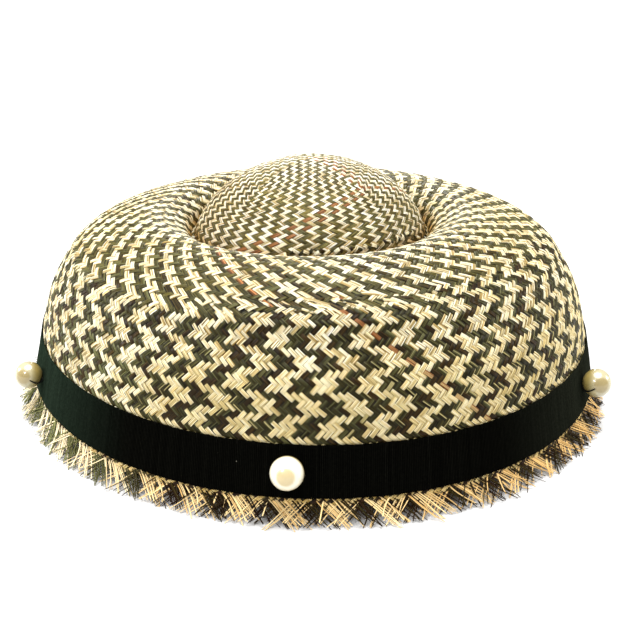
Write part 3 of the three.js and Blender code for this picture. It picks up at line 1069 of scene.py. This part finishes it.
def fringe_tones(pale_strands):
    """A colour for each straw of each strand, with painted light: those on the left are painted
    paler and more olive, those on the right get a painted golden shade.
    """
    shape = (len(pale_strands), STRAWS, 1)
    across = np.cos(np.arange(len(pale_strands)) / len(pale_strands) * TURN)
    aside = rise(-across, 0.45, 0.4)[:, None, None]
    gold = rng.beta(1, 1.6, shape)
    # Painted golden shade on the right
    gold = gold + (1 - gold) * 0.6 * rise(across, 0.2, 0.5)[:, None, None]
    pale = FRINGE_PALE * (1 - gold) + FRINGE_GOLD * gold
    pale = pale * (1 - 0.7 * aside) + FRINGE_LEFT_LIT_PALE * 0.7 * aside
    olive = rng.random(shape) ** 2
    dark = FRINGE_DARK * (1 - olive) + FRINGE_OLIVE * olive
    dark = (dark * (1 - aside) + FRINGE_LEFT_LIT_DARK * aside) * rng.normal(1, 0.2, shape)
    tones = np.where(pale_strands[:, None, None], pale, dark)
    return np.clip(tones * rng.normal(1, 0.08, shape), 0, 1).reshape(-1, 3)


def make_fringe(name, is_a, shift, depth, share):
    """Loose ends of the A or the B strands; share is how many of their straws are left."""
    strands = np.arange(WALL_ROUND)
    left_over = rng.random(WALL_ROUND * STRAWS) < share
    tone = fringe_tones(is_light(strands, 3, shift))[left_over]
    index = np.repeat(strands, STRAWS)[left_over]
    count = len(index)
    side = np.tile((np.arange(STRAWS) + 0.5) / STRAWS - 0.5, WALL_ROUND)[left_over]
    mean_radius = crown_mean + RIBBON_BOTTOM_OUT
    pitch = TURN / WALL_ROUND
    root = (index + 0.94 * side) * pitch + rng.normal(0, 0.04, count) * pitch
    t = np.linspace(0, 1, FRINGE_STEPS)[None, :]
    strand_tip = np.abs(rng.normal(0, 1.5, WALL_ROUND))[index]
    tip_up = 0.3 + strand_tip + np.abs(rng.normal(0, 1.3, count))
    for part, tips in ((FRINGE_GROUNDED, FRINGE_GROUNDED_TIPS), (FRINGE_SHORT, FRINGE_SHORT_TIPS)):
        tip_up = np.where(rng.random(count) < part, rng.uniform(*tips, count), tip_up)
    up = FRINGE_ROOT_UP + (tip_up - FRINGE_ROOT_UP)[:, None] * t
    strand_flare = rng.normal(0, 1.5, WALL_ROUND)[index]
    flare = (FRINGE_TIP_OUT - straw_out(0)) + 1.5 + strand_flare + rng.normal(0, 1.2, count)
    flare = flare * (1 - FRINGE_BACK_STEEPER * rise(np.sin(root), -0.3, 0.35))
    above = (depth - rng.uniform(0, 0.5, count))[:, None] * (1 - t)
    out = straw_out(up) - above + flare[:, None] * t**FRINGE_CURVE
    strand_travel = rng.normal(1, 0.07, WALL_ROUND)[index]
    travel = FRINGE_TRAVEL * strand_travel * rng.normal(1, 0.05, count) / mean_radius
    stray = rng.random(count) < FRINGE_STRAY
    travel = np.where(stray, travel * rng.uniform(*FRINGE_STRAY_TRAVEL, count), travel)
    curl = rng.normal(0, 0.07, count)[:, None] * t * (1 - t) * 4
    way = 1 if is_a else -1
    angle = root[:, None] + way * travel[:, None] * (t * (FRINGE_ROOT_UP - tip_up)[:, None] / 15)
    angle = angle + way * travel[:, None] * curl
    aside = rise(np.abs(np.cos(root)), 0.6, 0.3)
    width = FRINGE_WIDTH * rng.uniform(*FRINGE_WIDTHS, count) * (1 + FRINGE_SIDE_BROADER * aside)
    width = width[:, None] * (1 - FRINGE_TAPER * t)
    turn = width / 2 / mean_radius
    left = brim_point(angle - turn, out, up)
    right = brim_point(angle + turn, out, up)
    ridge = brim_point(angle, out + FRINGE_RIDGE * width, up)
    points = np.stack((left, ridge, right, left), 2)
    # Painted shade at the roots, under the ribbon
    root_shade = np.interp(t, [0, 0.15, 1], [0.7, 1, 1])
    tints = tone[:, None, None, :] * root_shade[..., None, None] + np.zeros((1, 1, 4, 1))
    u = t[:, :, None] * 24 + rng.uniform(0, FRINGE_SCATTER, (count, 1, 1)) + np.zeros((1, 1, 4))
    v = np.array([0, 0.4, 0.8, 1.2]) + rng.uniform(0, FRINGE_SCATTER, (count, 1, 1))
    uvs = np.stack((u, v + np.zeros_like(u)), -1)
    return add_mesh(name, points, grid_faces(count, FRINGE_STEPS, 4), fringe_straw,
                    corners(tints), corners(uvs))


fringe_over = make_fringe("fringe_over", True, 0, 1.2, 1.0)
fringe_under = make_fringe("fringe_under", False, 1, 2.2, 0.65)


# Pearls

def pearl_material():
    """Nacre: cream tint from the mesh, softly clouded, under a hard clear gloss."""
    material, tree, shader = new_material("pearl_nacre")
    cloud, tones = add_noise(tree, 90.0, 3.0, [(0.35, (0.93, 0.9, 0.84)), (0.65, (1, 1, 1))])
    tree.links.new(add_product(tree, add_tint(tree), tones), shader.inputs["Base Color"])
    set_inputs(shader, {"Roughness": 0.3, "Specular IOR Level": 0.7, "Coat Weight": 1.0,
                        "Coat Roughness": 0.04})
    add_bump(tree, shader, cloud, 0.08, 0.0003)
    return material


nacre = pearl_material()
PEARL_SIDES = 56
PEARL_BANDS = 40
# Painted light on the pearls: a paler lit body, golden shade and a darker patch of painted
# reflection
PEARL_LIT_PALE = srgb(240, 235, 214)
PEARL_CREAM = srgb(186, 178, 142)
PEARL_SHADE_GOLD = srgb(150, 132, 74)
PEARL_REFLECTION_TONE = np.array([0.7, 0.6, 0.4])


def pearl_centre(azimuth, diameter, up):
    flare = (RIBBON_BOTTOM_OUT - RIBBON_TOP_OUT) / (RIBBON_TOP_UP - RIBBON_BOTTOM_UP)
    out = ribbon_out(up) + (diameter / 2 + GAP) * math.hypot(1, flare)
    return brim_point(np.array(math.radians(azimuth)), out, up)


def level_way(azimuth):
    return np.array([math.cos(math.radians(azimuth)), math.sin(math.radians(azimuth)), 0])


def pearl_painted_light(ball, outward, reflection_way, lit_share):
    """Painted golden shade towards the ribbon and round the rim, one darker cream patch as a
    painted reflection, and a paler body the more light is painted on.
    """
    body = PEARL_CREAM * (1 - lit_share) + PEARL_LIT_PALE * lit_share
    towards = smooth((0.2 - ball @ outward) / 0.8) * (1 - 0.6 * lit_share)
    face = reflection_way * 0.93 + np.array([0, 0, 0.37])
    rim_shade = smooth((0.36 - ball @ face) / 0.3)
    gold = np.maximum(towards, rim_shade)[..., None]
    tints = body * (1 - gold) + PEARL_SHADE_GOLD * gold
    middle = reflection_way * 0.975 + np.array([0, 0, 0.22])
    cloud = smooth((ball @ middle - 0.8) / 0.09)[..., None]
    return tints * (1 - cloud * (1 - PEARL_REFLECTION_TONE))


def make_pearl(name, azimuth, diameter, up, reflection_azimuth, lit_share):
    bands = np.linspace(0.02, math.pi - 0.02, PEARL_BANDS)
    sides = np.arange(PEARL_SIDES) / PEARL_SIDES * TURN
    b, s = np.meshgrid(bands, sides, indexing="ij")
    ball = np.stack((np.sin(b) * np.cos(s), np.sin(b) * np.sin(s), np.cos(b)), -1)
    tints = pearl_painted_light(ball, level_way(azimuth), level_way(reflection_azimuth), lit_share)
    i, j = np.meshgrid(np.arange(PEARL_BANDS - 1), np.arange(PEARL_SIDES), indexing="ij")
    k = (j + 1) % PEARL_SIDES
    faces = np.stack((i * PEARL_SIDES + j, (i + 1) * PEARL_SIDES + j, (i + 1) * PEARL_SIDES + k,
                      i * PEARL_SIDES + k), -1)
    points = ball * diameter / 2 + pearl_centre(azimuth, diameter, up)
    return add_mesh("pearl_" + name + "_nacre", points, faces, nacre, tints.reshape(-1, 3)[faces])


pearls = {row[0]: make_pearl(*row) for row in PEARL_ROWS}

# Thread that sews each pearl on: out of its drilled hole on both sides and over to the ribbon
THREAD_STEPS = 14
THREAD_SIDES = 8
THREAD_RADIUS = 0.5
THREAD_WRAP = 1.35
THREAD_SAG = np.array([0, 0, -0.42])


def thread_material():
    material, tree, shader = new_material("black_thread")
    twist = add_node(tree, "ShaderNodeTexWave", {"Scale": 900.0, "Distortion": 2.0})
    tree.links.new(add_place(tree), twist.inputs["Vector"])
    tones = add_ramp(tree, twist.outputs["Fac"], [(0.2, srgb(4, 4, 4)), (0.8, srgb(26, 25, 22))])
    tree.links.new(tones, shader.inputs["Base Color"])
    set_inputs(shader, {"Roughness": 0.55, "Specular IOR Level": 0.2})
    return material


def thread_path(azimuth, diameter, up, side):
    """Points from the pearl's hole, over its lower inner side, to where it meets the ribbon."""
    inward = -level_way(azimuth)
    hole = level_way(azimuth + 90) * side - inward * 0.1
    t = np.linspace(0, 1, THREAD_STEPS)[:, None]
    way = hole * np.cos(t * THREAD_WRAP) + inward * np.sin(t * THREAD_WRAP)
    way = way + THREAD_SAG * np.sin(t * math.pi * 0.8)
    way = way / np.linalg.norm(way, axis=1, keepdims=True)
    lift = diameter / 2 + THREAD_RADIUS * (1 - 1.6 * (1 - t) ** 6)
    return pearl_centre(azimuth, diameter, up) + way * lift


def make_threads():
    points = []
    for _, azimuth, diameter, up, _, _ in PEARL_ROWS:
        for side in (-1, 1):
            path = thread_path(azimuth, diameter, up, side)
            along = np.gradient(path, axis=0)
            along /= np.linalg.norm(along, axis=1, keepdims=True)
            first = np.cross(along, path - pearl_centre(azimuth, diameter, up))
            first /= np.linalg.norm(first, axis=1, keepdims=True)
            second = np.cross(along, first)
            spin = np.linspace(0, TURN, THREAD_SIDES + 1)[None, :, None]
            ring = np.cos(spin) * first[:, None] + np.sin(spin) * second[:, None]
            points.append(path[:, None] + ring * THREAD_RADIUS)
    points = np.stack(points)
    faces = grid_faces(len(points), THREAD_STEPS, THREAD_SIDES + 1)
    return add_mesh("pearl_threads", points, faces, thread_material())


threads = make_threads()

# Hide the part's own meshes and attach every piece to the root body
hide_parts("crown")
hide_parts("brim")
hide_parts("ribbon_band")
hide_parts("frayed_edge")
for piece_name, pearl in pearls.items():
    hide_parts("pearl_" + piece_name)
worn = [crown_piece, crown_under, *shelf_pieces, *wall_pieces, brim_under, knots, loose_straws,
        ribbon, hem_piece, fringe_over, fringe_under, *pearls.values(), threads]
for piece in worn:
    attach(piece, "root")

# Floor, light and camera
FLOOR_REACH = 30
floor_mesh = bpy.data.meshes.new("floor")
floor_mesh.from_pydata([(x * FLOOR_REACH, y * FLOOR_REACH, 0)
                        for x, y in ((-1, -1), (1, -1), (1, 1), (-1, 1))], [], [(0, 1, 2, 3)])
floor = add_object("floor", floor_mesh)
floor_look, _, floor_shader = new_material("floor_pale")
set_inputs(floor_shader, {"Base Color": (0.62, 0.62, 0.62, 1), "Roughness": 0.9})
floor_mesh.materials.append(floor_look)

world = bpy.data.worlds.new("studio")
bpy.context.scene.world = world
world.use_nodes = True
set_inputs(world.node_tree.nodes["Background"], {"Color": (1, 1, 1, 1), "Strength": 0.5})
LAMP_SIZE = 0.4


def add_light(name, place, aim_up, power, colour):
    data = bpy.data.lights.new(name, "AREA")
    data.shape = "DISK"
    data.size = LAMP_SIZE
    data.energy = power
    data.color = colour
    lamp = add_object(name, data)
    lamp.location = place
    lamp.rotation_mode = "QUATERNION"
    lamp.rotation_quaternion = (Vector((0, 0, aim_up)) - Vector(place)).to_track_quat("-Z", "Y")


def add_overhead(strength, softness):
    """Even soft light from straight above, which keeps the whole floor white."""
    data = bpy.data.lights.new("overhead", "SUN")
    data.energy = strength
    data.angle = math.radians(softness)
    lamp = add_object("overhead", data)
    lamp.location = (0, 0, 2)


add_overhead(4.6, 55)
add_light("key", (-0.7, -1.1, 1.0), 0.06, 9, (1, 0.99, 0.96))
add_light("left", (-1.4, 0.2, 0.6), 0.06, 11, (1, 1, 1))
add_light("right", (1.4, 0.2, 0.6), 0.06, 8, (1, 0.95, 0.84))
add_light("rear", (0, 1.5, 0.8), 0.1, 9, (1, 1, 1))

CAMERA_AIM = Vector((0, HAT_BACK * MILLIMETRE, RIBBON_TOP_UP * MILLIMETRE))
CAMERA_UP = math.radians(22)
CAMERA_ROLL = 0.0165
camera_data = bpy.data.cameras.new("camera")
camera_data.lens = 74.98
camera_data.sensor_width = 36
camera_data.shift_x = -0.0095
camera_data.shift_y = -0.0136
camera_data.clip_start = 0.05
camera_data.clip_end = 50
camera = add_object("camera", camera_data)
back = Vector((0, -math.cos(CAMERA_UP), math.sin(CAMERA_UP)))
turned = (-back).to_track_quat("-Z", "Y").to_matrix() @ Matrix.Rotation(CAMERA_ROLL, 3, "Z")
camera.location = CAMERA_AIM + back
camera.rotation_mode = "QUATERNION"
camera.rotation_quaternion = turned.to_quaternion()
bpy.context.scene.camera = camera
bpy.context.scene.view_settings.view_transform = "Standard"
